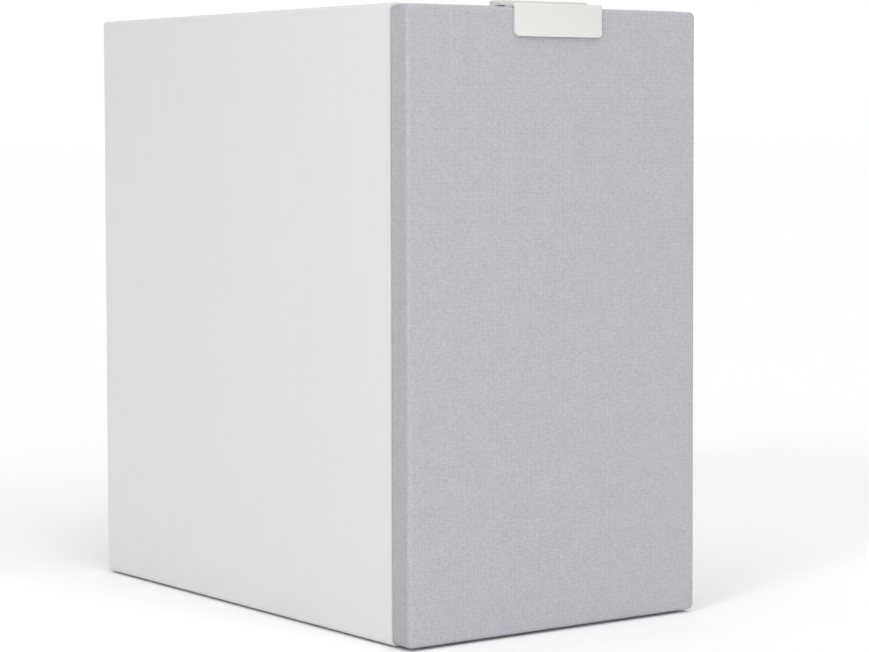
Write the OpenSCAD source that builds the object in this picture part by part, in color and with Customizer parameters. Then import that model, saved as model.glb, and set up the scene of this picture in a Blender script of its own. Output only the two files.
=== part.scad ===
// Compact two-way bookshelf loudspeaker, assembled from separate pieces.
// Millimetres, +Z up, front facing -Y. The origin is under the middle of the whole object, on the floor.

/* [Cabinet] */
// Width of the cabinet
cabinet_w = 180; // [176:1:200]
// Height of the cabinet without its feet
cabinet_h = 305; // [300:1:340]
// Depth of the cabinet without the grille
cabinet_d = 275; // [265:1:300]
// Thickness of the cabinet panels
panel_t = 15; // [12:1:16]
// Radius of the cabinet's outer edges
edge_r = 2.5; // [1:0.5:4]
// Thickness of the front baffle
baffle_t = 18; // [16:1:20]
// How far the rear panel lies inside the cabinet's rear rim
rear_inset = 3; // [3:0.5:5]
// Thickness of the rubber feet
foot_t = 1; // [1:0.5:3]
// Radius of the rubber feet
foot_r = 7; // [5:1:9]

/* [Grille] */
// Depth of the grille with its cloth
grille_d = 13.5; // [13:0.5:18]
// Height that the grille stays below the cabinet's top
grille_top_inset = 0.9; // [0.5:0.1:2]
// Distance that the grille stays in from the cabinet's sides and bottom
grille_side_inset = 0.5; // [0.3:0.1:2]
// Gap between the grille's back and the cabinet
grille_gap = 0.2; // [0.2:0.1:0.5]
// Width of the grille frame's border
grille_border = 14; // [12:1:15]
// Thickness of the grille cloth
cloth_t = 0.8; // [0.6:0.1:1]
// Width of the pull tab
tab_w = 54; // [40:1:70]
// Height of the pull tab's front plate below the cabinet's top
tab_drop = 15; // [10:1:25]

/* [Drivers] */
// Height of the woofer's axis above the cabinet's bottom
woofer_z = 94; // [92:1:98]
// Height of the tweeter's axis above the cabinet's bottom
tweeter_z = 224; // [222:1:228]
// Radius of the woofer's flange
woofer_r = 70; // [69:0.5:71]
// Radius of the tweeter's faceplate
tweeter_r = 50; // [48:1:52]

/* [Rear] */
// Height of the port's axis above the cabinet's bottom
port_z = 224; // [215:1:230]
// Inner radius of the port tube
port_r = 22; // [18:1:24]
// Length of the port tube
port_l = 120; // [80:5:140]
// Height of the terminal cup's middle above the cabinet's bottom
cup_z = 84; // [80:1:100]
// Distance between the two binding posts
post_spacing = 38; // [34:1:42]
// Turns that a knob can be unscrewed
knob_turns = 4; // [3:1:5]

/* [Hidden] */
$fn = 64;

// Heights above the floor
base_z = foot_t;
top_z = base_z + cabinet_h;
woofer_axis_z = base_z + woofer_z;
tweeter_axis_z = base_z + tweeter_z;
port_axis_z = base_z + port_z;
cup_axis_z = base_z + cup_z;
inner_bottom_z = base_z + panel_t;
inner_top_z = top_z - panel_t;

// Inner size of the cabinet
inner_w = cabinet_w - 2 * panel_t;
inner_h = cabinet_h - 2 * panel_t;

// Grille, front to back: cloth, frame, cloth turned over the back
grille_back = -grille_gap;
grille_front = -grille_gap - grille_d;
grille_w = cabinet_w - 2 * grille_side_inset;
grille_h = cabinet_h - grille_top_inset - grille_side_inset;
grille_mid_z = base_z + grille_side_inset + grille_h / 2;
grille_corner_r = 2.8;
grille_window_r = 6;
grille_top_z = top_z - grille_top_inset;
cloth_hem = 4.5;

// Pull tab
tab_plate_t = 2;
tab_plate_r = 2.5;
tab_strap_top = top_z + 1;
tab_strap_back = grille_front + 6.8;
tab_neck_in = 4;
tab_bar_front = -4;
tab_bar_back = 5.4;
tab_bar_lift = 0.3;
tab_bar_t = 2.3;

// Grille magnets
magnet_r = 4;
magnet_t = 3;
magnet_x = cabinet_w / 2 - 10;
magnet_rows = [base_z + 32, base_z + cabinet_h / 2, top_z - 32];
pocket_play = 0.1;

// The whole depth runs from the tab's front face to the cabinet's rear rim
front_y = grille_front - tab_plate_t;
middle_y = (front_y + cabinet_d) / 2;

// Rear panel
rear_face_y = cabinet_d - rear_inset;
rear_t = 15;
rear_inner_y = rear_face_y - rear_t;

// Brace between the two drivers
brace_t = 12;
brace_z = (woofer_axis_z + tweeter_axis_z) / 2 + 5;
brace_margin = 20;
brace_bar = 18;
brace_corner_r = 12;

// Woofer, measured along its axis from the baffle's front
woofer_screw_pcd = 132;
woofer_screws_n = 6;
woofer_flange_y = 0.5;
woofer_land_y = 4.6;
woofer_land_t = 2.4;
woofer_cutout_r = 62.5;
woofer_land_r = 57.5;
woofer_flange_in = 61.6;
driver_play = 0.4;
surround_t = 0.6;
surround_mid_r = 54;
surround_roll_r = 4.6;
cone_t = 0.8;
cone_lip_in = 46.5;
cone_lip_out = 50.5;
cone_neck_y = 24.8;
cap_r = 20;
cap_rise = 6;
cap_t = 0.5;
former_in = 12.45;
former_out = 12.75;
former_front_y = 23;
former_back_y = 66;
coil_out = 13.45;
coil_front_y = 50.5;
coil_l = 12;
cone_neck_r = former_out + 0.05;
cone_slope = (cone_neck_y - woofer_land_y) / (cone_lip_in - former_out);
cap_rim_y = cone_neck_y - cone_slope * (cap_r - former_out) - 0.2;
pole_r = 12;
pole_vent_r = 4;
gap_r = 14.2;
plate_y = 54;
plate_t = 5;
plate_r = 36;
magnet_ring_in = 18;
magnet_ring_out = 40;
magnet_ring_t = 14;
yoke_r = 37;
yoke_t = 5;
basket_seat_r = 42;
basket_seat_t = 4;
basket_wall = 3.5;
spoke_angle = 16;
spoke_step = 60;
spider_y = 36;
spider_t = 0.6;
spider_rolls = 6;
spider_shelf_in = 32.5;
spider_shelf_out = 40;
spider_shelf_t = 2;

// Tweeter, measured along its axis from the baffle's front
tweeter_screw_pcd = 88;
tweeter_screws_n = 4;
tweeter_plate_t = 4;
tweeter_horn_r = 34;
tweeter_throat_r = 15.6;
tweeter_throat_y = 4.4;
tweeter_boss_r = 35;
tweeter_boss_y = 7;
tweeter_cutout_r = 38.5;
dome_r = 12.6;
dome_rise = 4.2;
dome_t = 0.4;
dome_base_y = 4.6;
tweeter_roll_mid_r = 14.25;
tweeter_roll_r = 1.1;
tweeter_roll_t = 0.3;
tweeter_coil_in = 12.2;
tweeter_coil_out = 12.6;
tweeter_coil_l = 6;
tweeter_pole_r = 11.8;
tweeter_gap_r = 13.1;
tweeter_steel_r = 34;
tweeter_top_t = 4;
tweeter_magnet_in = 17;
tweeter_magnet_r = 36;
tweeter_magnet_t = 12;
tweeter_yoke_t = 5;
tweeter_yoke_y = tweeter_boss_y + tweeter_top_t + tweeter_magnet_t;

// Screws: head radius, head height, shank radius
wood_screw = [3.8, 2.2, 2];
small_screw = [3, 1.8, 1.5];
screw_play = 0.1;
cross_w = 0.8;
cross_deep = 1.2;
driver_screw_l = 18;
cup_screw_l = 14;
board_screw_l = 14;

// Port
port_wall = 2.5;
port_flange_r = 38;
flange_t = 2.5;
port_flare_r = 9;

// Terminal cup
cup_w = 112;
cup_h = 86;
cup_corner_r = 8;
cup_recess_w = 86;
cup_recess_h = 60;
cup_depth = 30;
cup_wall = 2.5;
cup_outer_y = rear_face_y + flange_t;
cup_floor_y = cup_outer_y - cup_depth;
cup_floor_t = 3;
cup_screw_x = 49;
cup_screw_z = 36;
hole_play = 0.5;

// Binding posts
post_r = 3;
collar_r = 9;
collar_h = 2;
collar_y = cup_floor_y + collar_h;
wire_hole_r = 1.25;
wire_hole_y = collar_y + wire_hole_r + 0.25;
socket_r = 2;
socket_l = 20;
post_end_y = cup_outer_y - 4;
post_tail = 9;
washer_t = 1.5;
washer_r = 7.5;
thread_pitch = 1;
thread_play = 0.08;
knob_r = 8.5;
knob_ribs = 16;
rib_r = 0.9;
nut_flat_r = 5.5;
nut_t = 4;

// An unscrewed knob still ends inside the cup
knob_y = collar_y + washer_t;
knob_l = cup_outer_y - 0.5 - knob_turns * thread_pitch - knob_y;

// Crossover board
board_size = [110, 100, 1.6];
board_y = 112;
spacer_h = 5;
board_z = inner_bottom_z + spacer_h;
board_top = board_z + board_size[2];
board_hole_in = 6;

// Crossover parts: their places on the board, as x from its middle and y from its front edge,
// and their sizes, a coil's as outer radius, inner radius and height, a capacitor's as radius and length
bass_coil_place = [-27, 62];
bass_coil_size = [22, 9, 24];
treble_coil_place = [33, 76];
treble_coil_size = [14, 5, 14];
bass_can_place = [-26, 22];
bass_can_size = [10, 38];
treble_can_place = [22, 32];
treble_can_size = [8, 30];
resistor_place = [8, 48];
resistor_size = [26, 7, 7];

// Tag boards on the drivers and the lugs that the wires are soldered to
tag_t = 1.6;
lug_size = [3, 0.8, 12];

// Wadding
wadding_t = 13;
wadding_gap = 0.5;
side_wadding_front = 92;
side_wadding_back = rear_inner_y - 20;
top_wadding_front = 52;
top_wadding_back = rear_inner_y - 15;
top_wadding_w = inner_w - 14;

// Routes of the wire pairs: x of the pair's middle, y from the front rim, z above the floor,
// and how far each wire of the pair lies from that middle
wire_r = 1.1;
lead_r = 0.6;
woofer_leads_route = [
    [0, 54, 46, 7], [0, 45, 46, 7], [0, 35, 47, 7], [0, 27, 54, 6.5], [0, 21.5, 64, 6], [0, 18.8, 69, 6]
];
woofer_route = [
    [0, 56.4, 38, 7], [0, 63, 38, 7], [0, 74, 37, 3], [2, 86, 35, 1.5], [6, 98, 34, 1.5],
    [10, 108, 34, 1.5], [12, 119, 30, 2], [12, 119, 22.6, 2]
];
tweeter_route = [
    [0, 30.4, 213, 8], [0, 38, 213, 8], [4, 52, 209, 4], [16, 68, 198, 1.5], [28, 80, 182, 1.5],
    [34, 88, 160, 1.5], [38, 94, 130, 1.5], [40, 102, 95, 1.5], [40, 112, 60, 1.5],
    [40, 126, 33, 2], [40, 126, 22.6, 2]
];
input_route = [
    [0, 232.5, 85, 19], [0, 227, 85, 19], [0, 219, 77, 15], [0, 212, 60, 8], [0, 206, 44, 3],
    [0, 202, 31, 2], [0, 202, 22.6, 2]
];
wire_sides = 8;
wire_rings_per_step = 4;

// Puts a piece that is drawn from the cabinet's front rim into the object's frame
module placed() {
    translate([0, -middle_y, 0]) children();
}

// Draws its children twice, left and right
module both_sides() {
    children();
    mirror([1, 0, 0]) children();
}

// Turns a profile of (radius, distance behind the baffle's front) about a driver's axis
module turned(axis_z, angle = 360) {
    translate([0, 0, axis_z]) rotate([-90, 0, 0]) rotate_extrude(angle = angle) children();
}

// A round rod along +Y
module rod_y(r, y0, y1) {
    translate([0, y0, 0]) rotate([-90, 0, 0]) cylinder(r = r, h = y1 - y0);
}

// A round rod along +Z
module rod_z(r, z0, z1) {
    translate([0, 0, z0]) cylinder(r = r, h = z1 - z0);
}

// A flat outline in X and Z, carried along +Y
module slab_y(y0, y1) {
    translate([0, y1, 0]) rotate([90, 0, 0]) linear_extrude(y1 - y0) children();
}

// A rectangle with round corners, about its middle
module rounded_rect(w, h, r) {
    square([w - 2 * r, h], center = true);
    square([w, h - 2 * r], center = true);
    for (x = [-1, 1], y = [-1, 1])
        translate([x * (w / 2 - r), y * (h / 2 - r)]) circle(r);
}

// A ring's section between two radii and two depths
module section(r0, r1, y0, y1) {
    translate([r0, y0]) square([r1 - r0, y1 - y0]);
}

// Half of a ring of tube, crest towards the front
module half_roll(mid_r, roll_r, t, y, forward = true) {
    translate([mid_r, y]) difference() {
        circle(roll_r + t / 2);
        circle(roll_r - t / 2);
        translate([-2 * roll_r, forward ? 0 : -4 * roll_r]) square(4 * roll_r);
    }
}

// A shallow dome's section: rim radius, height, thickness, and the depth of its rim
module dome_section(rim_r, rise, t, rim_y) {
    ball_r = (rim_r * rim_r + rise * rise) / (2 * rise);
    intersection() {
        translate([0, rim_y - rise + ball_r]) difference() {
            circle(ball_r);
            circle(ball_r - t);
        }
        translate([0, rim_y - rise - 1]) square([rim_r + 1, rise + 1]);
    }
}

// A cross-head screw whose head's underside is at y = 0 and whose shank runs along +Y
module screw_y(size, length) {
    difference() {
        union() {
            rod_y(size[0], -size[1], 0);
            rod_y(size[2], -0.5, length);
        }
        for (turn = [0, 90])
            rotate([0, turn, 0]) translate([-0.55 * size[0], -size[1] - 1, -cross_w / 2])
                cube([1.1 * size[0], 1 + cross_deep, cross_w]);
    }
}

// Places its children on a bolt circle about a driver's axis
module around(axis_z, pcd, n, start) {
    for (i = [0 : n - 1]) {
        angle = start + i * 360 / n;
        translate([pcd / 2 * cos(angle), 0, axis_z + pcd / 2 * sin(angle)]) children();
    }
}

// Points on a smooth curve through p[i] and p[i + 1]
function spline_point(p, i, t) =
    let (
        a = p[max(i - 1, 0)],
        b = p[i],
        c = p[i + 1],
        d = p[min(i + 2, len(p) - 1)]
    )
    0.5 * (2 * b + (c - a) * t + (2 * a - 5 * b + 4 * c - d) * t * t
        + (3 * b - a - 3 * c + d) * t * t * t);

function spline(p) = concat(
    [for (i = [0 : len(p) - 2], s = [0 : wire_rings_per_step - 1])
        spline_point(p, i, s / wire_rings_per_step)],
    [p[len(p) - 1]]
);

function unit(v) = v / norm(v);

// The direction of the curve q at its point i: at its ends, that of the route's end stretch
function heading(q, i, route) =
    let (n = len(route))
    i == 0 ? unit(route[1] - route[0])
    : i == len(q) - 1 ? unit(route[n - 1] - route[n - 2])
    : unit(q[i + 1] - q[i - 1]);

// A round tube swept along a smooth curve through the points of a route
module swept(route, r) {
    q = spline(route);
    last = len(q) - 1;
    rings = [for (i = [0 : last])
        let (
            f = heading(q, i, route),
            u = unit(cross(f, [1, 0.12, 0.07])),
            v = cross(f, u)
        )
        for (k = [0 : wire_sides - 1])
            q[i] + r * (cos(k * 360 / wire_sides) * u + sin(k * 360 / wire_sides) * v)];
    sides = [for (i = [0 : last - 1], k = [0 : wire_sides - 1])
        let (
            a = i * wire_sides + k,
            b = i * wire_sides + (k + 1) % wire_sides
        )
        [a, a + wire_sides, b + wire_sides, b]];
    first_cap = [for (k = [0 : wire_sides - 1]) k];
    last_cap = [for (k = [wire_sides - 1 : -1 : 0]) last * wire_sides + k];
    polyhedron(points = rings, faces = concat(sides, [first_cap, last_cap]));
}

// Two wires that run side by side
module wire_pair(route, r) {
    for (side = [-1, 1])
        swept([for (p = route) [p[0] + side * p[3], p[1], p[2]]], r);
}

// The cabinet's outer block: its long edges and its rear edges are rounded
module outer_block() {
    intersection() {
        translate([0, 0, base_z + cabinet_h / 2]) slab_y(0, cabinet_d)
            rounded_rect(cabinet_w, cabinet_h, edge_r);
        translate([0, 0, base_z]) linear_extrude(cabinet_h) rear_rounded(cabinet_w);
        translate([-cabinet_w / 2, 0, base_z + cabinet_h / 2]) rotate([0, 90, 0])
            linear_extrude(cabinet_w) rear_rounded(cabinet_h);
    }
}

// A panel's plan, square in front and with round rear corners
module rear_rounded(w) {
    translate([-w / 2, 0]) square([w, cabinet_d - edge_r]);
    translate([-w / 2 + edge_r, 0]) square([w - 2 * edge_r, cabinet_d]);
    for (x = [-1, 1])
        translate([x * (w / 2 - edge_r), cabinet_d - edge_r]) circle(edge_r);
}

// One mitred side of the box, as an outline in X and Z
function side_outline(x) = [
    [x, base_z], [x - sign(x) * panel_t, inner_bottom_z],
    [x - sign(x) * panel_t, inner_top_z], [x, top_z]
];

function level_outline(outer_z, inner_z) = [
    [-cabinet_w / 2, outer_z], [cabinet_w / 2, outer_z], [inner_w / 2, inner_z], [-inner_w / 2, inner_z]
];

module panel(outline) {
    intersection() {
        outer_block();
        slab_y(0, cabinet_d) polygon(outline);
    }
}

module magnet_places(x, y) {
    for (z = magnet_rows) translate([x, y, z]) children();
}

module side_panel(side) {
    difference() {
        panel(side_outline(side * cabinet_w / 2));
        magnet_places(side * magnet_x, 0) rod_y(magnet_r + pocket_play, -1, magnet_t);
    }
}

module cabinet_left_panel() {
    color("gainsboro") placed() side_panel(-1);
}

module cabinet_right_panel() {
    color("gainsboro") placed() side_panel(1);
}

module cabinet_top_panel() {
    color("gainsboro") placed() panel(level_outline(top_z, inner_top_z));
}

module board_screw_places() {
    for (x = [-1, 1], y = [board_hole_in, board_size[1] - board_hole_in])
        translate([x * (board_size[0] / 2 - board_hole_in), board_y + y, 0]) children();
}

module cabinet_bottom_panel() {
    color("gainsboro") placed() difference() {
        panel(level_outline(base_z, inner_bottom_z));
        board_screw_places()
            rod_z(small_screw[2] + screw_play, board_top - board_screw_l - 0.5, inner_bottom_z + 1);
    }
}

module cup_screw_places() {
    for (x = [-1, 1], z = [-1, 1])
        translate([x * cup_screw_x, rear_face_y + flange_t, cup_axis_z + z * cup_screw_z])
            rotate([0, 0, 180]) children();
}

module cabinet_rear_panel() {
    color("gainsboro") placed() difference() {
        translate([0, 0, (inner_bottom_z + inner_top_z) / 2]) slab_y(rear_inner_y, rear_face_y)
            square([inner_w, inner_h], center = true);
        translate([0, 0, cup_axis_z]) slab_y(rear_inner_y - 1, rear_face_y + 1)
            rounded_rect(cup_recess_w + 2 * cup_wall + hole_play, cup_recess_h + 2 * cup_wall + hole_play,
                cup_corner_r);
        translate([0, 0, port_axis_z])
            rod_y(port_r + port_wall + port_flare_r / 2 + hole_play, rear_inner_y - 1, rear_face_y + 1);
        cup_screw_places() rod_y(wood_screw[2] - 0.2 + screw_play, 0, cup_screw_l + 0.5);
    }
}

module front_baffle() {
    color("whitesmoke") placed() difference() {
        translate([0, 0, (inner_bottom_z + inner_top_z) / 2]) slab_y(0, baffle_t)
            square([inner_w, inner_h], center = true);
        translate([0, 0, woofer_axis_z]) {
            rod_y(woofer_r + driver_play, -1, woofer_land_y);
            rod_y(woofer_cutout_r, -1, baffle_t + 1);
        }
        translate([0, 0, tweeter_axis_z]) {
            rod_y(tweeter_r + driver_play, -1, tweeter_plate_t);
            rod_y(tweeter_cutout_r, -1, baffle_t + 1);
        }
        around(woofer_axis_z, woofer_screw_pcd, woofer_screws_n, 0)
            rod_y(wood_screw[2] + screw_play, 0, baffle_t + 1);
        around(tweeter_axis_z, tweeter_screw_pcd, tweeter_screws_n, 45)
            rod_y(wood_screw[2] + screw_play, 0, baffle_t + 1);
    }
}

module cabinet_brace() {
    color("burlywood") placed() translate([0, baffle_t, brace_z]) linear_extrude(brace_t) difference() {
        depth = rear_inner_y - baffle_t;
        translate([-inner_w / 2, 0]) square([inner_w, depth]);
        window_d = (depth - 2 * brace_margin - brace_bar) / 2;
        for (y = [brace_margin, brace_margin + window_d + brace_bar])
            translate([0, y + window_d / 2])
                rounded_rect(inner_w - 2 * brace_margin, window_d, brace_corner_r);
    }
}

module rubber_feet() {
    foot_in = 20;
    color("dimgray") placed() both_sides() for (y = [foot_in, cabinet_d - foot_in])
        translate([cabinet_w / 2 - foot_in, y, 0]) rod_z(foot_r, 0, foot_t);
}

module cabinet_magnets() {
    color("silver") placed() both_sides() magnet_places(magnet_x, 0) rod_y(magnet_r, 0.05, magnet_t);
}

// One wadding sheet against a side wall, below the brace
module side_wadding() {
    low_z = inner_bottom_z + 6;
    translate([inner_w / 2 - wadding_gap - wadding_t, side_wadding_front, low_z])
        cube([wadding_t, side_wadding_back - side_wadding_front, brace_z - 4 - low_z]);
}

module wadding_left() {
    color("white") placed() mirror([1, 0, 0]) side_wadding();
}

module wadding_right() {
    color("white") placed() side_wadding();
}

module wadding_top() {
    color("white") placed()
        translate([-top_wadding_w / 2, top_wadding_front, inner_top_z - wadding_gap - wadding_t])
            cube([top_wadding_w, top_wadding_back - top_wadding_front, wadding_t]);
}

// The grille frame's outline, grown or shrunk by a margin on every side
module grille_outline(margin) {
    rounded_rect(grille_w + 2 * margin, grille_h + 2 * margin, max(grille_corner_r + margin, 0.5));
}

module grille_frame() {
    color("dimgray") placed() difference() {
        translate([0, 0, grille_mid_z]) slab_y(grille_front + cloth_t, grille_back - cloth_t) difference() {
            grille_outline(-cloth_t);
            rounded_rect(grille_w - 2 * cloth_t - 2 * grille_border,
                grille_h - 2 * cloth_t - 2 * grille_border, grille_window_r);
        }
        for (x = [-1, 1])
            magnet_places(x * magnet_x, grille_back - cloth_t) rod_y(magnet_r + pocket_play, -magnet_t, 1);
    }
}

module grille_cloth() {
    color("darkgray") placed() translate([0, 0, grille_mid_z]) difference() {
        slab_y(grille_front, grille_back) grille_outline(0);
        slab_y(grille_front + cloth_t, grille_back - cloth_t) grille_outline(-cloth_t);
        slab_y(grille_front + cloth_t, grille_back + 1) grille_outline(-cloth_t - cloth_hem);
    }
}

module grille_magnets() {
    color("silver") placed() both_sides()
        magnet_places(magnet_x, grille_back - cloth_t) rod_y(magnet_r, -magnet_t, -0.05);
}

module pull_tab() {
    color("ivory") placed() {
        plate_bottom = top_z - tab_drop;
        plate_h = tab_strap_top - plate_bottom;
        // front plate with round lower corners
        translate([0, 0, plate_bottom + plate_h / 2]) slab_y(front_y, grille_front) {
            rounded_rect(tab_w, plate_h, tab_plate_r);
            translate([-tab_w / 2, 0]) square([tab_w, plate_h / 2]);
        }
        // strap over the grille's top edge
        translate([-tab_w / 2, grille_front, grille_top_z])
            cube([tab_w, tab_strap_back - grille_front, tab_strap_top - grille_top_z]);
        // neck, narrower at both ends
        translate([-tab_w / 2 + tab_neck_in, tab_strap_back, top_z + tab_bar_lift - 0.6])
            cube([tab_w - 2 * tab_neck_in, tab_bar_front - tab_strap_back, tab_strap_top - top_z + 0.3]);
        // bar behind, just clear of the cabinet's top
        translate([-tab_w / 2, tab_bar_front, top_z + tab_bar_lift])
            cube([tab_w, tab_bar_back - tab_bar_front, tab_bar_t]);
    }
}

// The basket's slanted wall, from the flange back to the magnet's seat
function basket_wall_outline() = [
    [woofer_land_r - basket_wall, woofer_land_y + woofer_land_t - 0.5],
    [woofer_land_r + 3, woofer_land_y + woofer_land_t - 0.5],
    [basket_seat_r, plate_y - 0.5],
    [basket_seat_r - basket_wall, plate_y - 0.5]
];

module woofer_basket() {
    color("darkslategray") placed() difference() {
        union() {
            turned(woofer_axis_z) {
                section(woofer_flange_in, woofer_r, woofer_flange_y, woofer_land_y);
                section(woofer_land_r, woofer_cutout_r - 0.3, woofer_land_y, woofer_land_y + woofer_land_t);
                section(gap_r + 3, basket_seat_r, plate_y - basket_seat_t, plate_y);
                section(spider_shelf_in, spider_shelf_out + 5, spider_y + spider_t / 2,
                    spider_y + spider_t / 2 + spider_shelf_t);
            }
            for (i = [0 : 360 / spoke_step - 1])
                translate([0, 0, woofer_axis_z]) rotate([0, i * spoke_step - spoke_angle / 2, 0])
                    turned(0, spoke_angle) polygon(basket_wall_outline());
        }
        around(woofer_axis_z, woofer_screw_pcd, woofer_screws_n, 0) rod_y(wood_screw[2] + 0.3, -1, baffle_t);
    }
}

module woofer_trim_ring() {
    color("black") placed() turned(woofer_axis_z)
        section(woofer_land_r + 2, woofer_flange_in - 0.1, woofer_flange_y + 0.3, woofer_land_y - surround_t);
}

module woofer_surround() {
    color("dimgray") placed() turned(woofer_axis_z) {
        half_roll(surround_mid_r, surround_roll_r, surround_t, woofer_land_y - surround_t);
        section(cone_lip_in + 0.5, surround_mid_r - surround_roll_r + surround_t / 2,
            woofer_land_y - surround_t, woofer_land_y);
        section(surround_mid_r + surround_roll_r - surround_t / 2, woofer_flange_in - 0.1,
            woofer_land_y - surround_t, woofer_land_y);
        for (edge = [surround_mid_r - surround_roll_r, surround_mid_r + surround_roll_r])
            section(edge - surround_t / 2, edge + surround_t / 2,
                woofer_land_y - 2 * surround_t, woofer_land_y);
    }
}

module woofer_cone() {
    color("silver") placed() turned(woofer_axis_z) polygon([
        [cone_neck_r, cone_neck_y], [cone_lip_in, woofer_land_y], [cone_lip_out, woofer_land_y],
        [cone_lip_out, woofer_land_y + cone_t], [cone_lip_in + 0.3, woofer_land_y + cone_t],
        [cone_neck_r, cone_neck_y + 1.2 * cone_t]
    ]);
}

module woofer_dust_cap() {
    color("dimgray") placed() turned(woofer_axis_z) dome_section(cap_r, cap_rise, cap_t, cap_rim_y);
}

module woofer_former() {
    color("goldenrod") placed() turned(woofer_axis_z)
        section(former_in, former_out, former_front_y, former_back_y);
}

module woofer_voice_coil() {
    color("chocolate") placed() turned(woofer_axis_z)
        section(former_out, coil_out, coil_front_y, coil_front_y + coil_l);
}

module woofer_spider() {
    first_r = former_out + 2;
    pitch = (spider_shelf_in - 1 - first_r) / spider_rolls;
    color("gold") placed() turned(woofer_axis_z) {
        section(former_out + 0.05, first_r + spider_t / 2, spider_y - spider_t / 2, spider_y + spider_t / 2);
        for (i = [0 : spider_rolls - 1])
            half_roll(first_r + (i + 0.5) * pitch, pitch / 2, spider_t, spider_y, i % 2 == 0);
        section(spider_shelf_in - 1 - spider_t / 2, spider_shelf_out - 1, spider_y - spider_t / 2,
            spider_y + spider_t / 2);
    }
}

module woofer_front_plate() {
    color("silver") placed() turned(woofer_axis_z) section(gap_r, plate_r, plate_y, plate_y + plate_t);
}

module woofer_magnet() {
    color("dimgray") placed() turned(woofer_axis_z)
        section(magnet_ring_in, magnet_ring_out, plate_y + plate_t, plate_y + plate_t + magnet_ring_t);
}

module woofer_yoke() {
    back_y = plate_y + plate_t + magnet_ring_t;
    color("silver") placed() turned(woofer_axis_z) {
        section(pole_vent_r, pole_r, plate_y - 0.5, back_y + yoke_t);
        section(pole_r, yoke_r, back_y, back_y + yoke_t);
    }
}

// A tag board with its front face at y, and its two lugs, which lie x to either side
module tag_board(w, h, y, z) {
    color("peru") translate([-w / 2, y, z]) cube([w, tag_t, h]);
}

module tag_lugs(x, y, z) {
    color("gold") both_sides() translate([x - lug_size[0] / 2, y + tag_t, z]) cube(lug_size);
}

// The woofer's tag board lies against the magnet seat's rear face, under the front plate
module woofer_terminals() {
    low_z = woofer_axis_z - 55;
    placed() {
        difference() {
            tag_board(24, 17, plate_y, low_z);
            translate([0, 0, woofer_axis_z]) rod_y(plate_r + 0.5, plate_y - 1, plate_y + tag_t + 1);
        }
        tag_lugs(7, plate_y, low_z - 3);
    }
}

module woofer_leads() {
    color("orange") placed() wire_pair(woofer_leads_route, lead_r);
}

module woofer_screws() {
    color("black") placed() around(woofer_axis_z, woofer_screw_pcd, woofer_screws_n, 0)
        translate([0, woofer_flange_y, 0]) screw_y(wood_screw, driver_screw_l - 2);
}

module tweeter_faceplate() {
    color("black") placed() difference() {
        turned(tweeter_axis_z) difference() {
            union() {
                section(0, tweeter_r, 0.3, tweeter_plate_t);
                section(0, tweeter_boss_r, tweeter_plate_t, tweeter_boss_y);
            }
            polygon([
                [0, -1], [tweeter_horn_r, -1], [tweeter_horn_r, 0.3], [tweeter_throat_r + 4, 2.6],
                [tweeter_throat_r, tweeter_throat_y], [tweeter_throat_r, tweeter_boss_y + 1],
                [0, tweeter_boss_y + 1]
            ]);
        }
        around(tweeter_axis_z, tweeter_screw_pcd, tweeter_screws_n, 45)
            rod_y(wood_screw[2] + 0.3, -1, baffle_t);
    }
}

module tweeter_surround() {
    color("dimgray") placed() turned(tweeter_axis_z) {
        half_roll(tweeter_roll_mid_r, tweeter_roll_r, tweeter_roll_t, dome_base_y);
        section(dome_r + 0.05, tweeter_roll_mid_r - tweeter_roll_r + tweeter_roll_t / 2,
            dome_base_y - tweeter_roll_t, dome_base_y);
    }
}

module tweeter_dome() {
    color("slategray") placed() turned(tweeter_axis_z) dome_section(dome_r, dome_rise, dome_t, dome_base_y);
}

module tweeter_voice_coil() {
    color("chocolate") placed() turned(tweeter_axis_z)
        section(tweeter_coil_in, tweeter_coil_out, dome_base_y, dome_base_y + tweeter_coil_l);
}

module tweeter_front_plate() {
    color("silver") placed() turned(tweeter_axis_z)
        section(tweeter_gap_r, tweeter_steel_r, tweeter_boss_y, tweeter_boss_y + tweeter_top_t);
}

module tweeter_magnet() {
    color("dimgray") placed() turned(tweeter_axis_z) section(tweeter_magnet_in, tweeter_magnet_r,
        tweeter_boss_y + tweeter_top_t, tweeter_yoke_y);
}

module tweeter_yoke() {
    color("silver") placed() turned(tweeter_axis_z) {
        section(0, tweeter_pole_r, tweeter_boss_y - 0.3, tweeter_yoke_y + tweeter_yoke_t);
        section(tweeter_pole_r, tweeter_steel_r, tweeter_yoke_y, tweeter_yoke_y + tweeter_yoke_t);
    }
}

module tweeter_terminals() {
    back_y = tweeter_yoke_y + tweeter_yoke_t;
    placed() {
        tag_board(26, 14, back_y, tweeter_axis_z - 16);
        tag_lugs(8, back_y, tweeter_axis_z - 15);
    }
}

module tweeter_screws() {
    color("black") placed() around(tweeter_axis_z, tweeter_screw_pcd, tweeter_screws_n, 45)
        translate([0, 0.3, 0]) screw_y(wood_screw, driver_screw_l - 2);
}

// One moulding: flange outside the rear panel, flared mouth, straight tube inside
module port_tube() {
    mouth_y = rear_face_y + flange_t;
    bend_y = mouth_y - port_flare_r;
    color("dimgray") placed() turned(port_axis_z) difference() {
        union() {
            section(port_r, port_r + port_wall, mouth_y - port_l, mouth_y);
            section(port_r, port_r + port_wall + port_flare_r / 2, rear_inner_y + 1, mouth_y);
            section(port_r, port_flange_r, rear_face_y, mouth_y);
        }
        difference() {
            section(port_r - 1, port_r + port_flare_r, bend_y, mouth_y + 1);
            translate([port_r + port_flare_r, bend_y]) circle(port_flare_r);
        }
    }
}

module post_places() {
    for (x = [-1, 1]) translate([x * post_spacing / 2, 0, cup_axis_z]) children();
}

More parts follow.
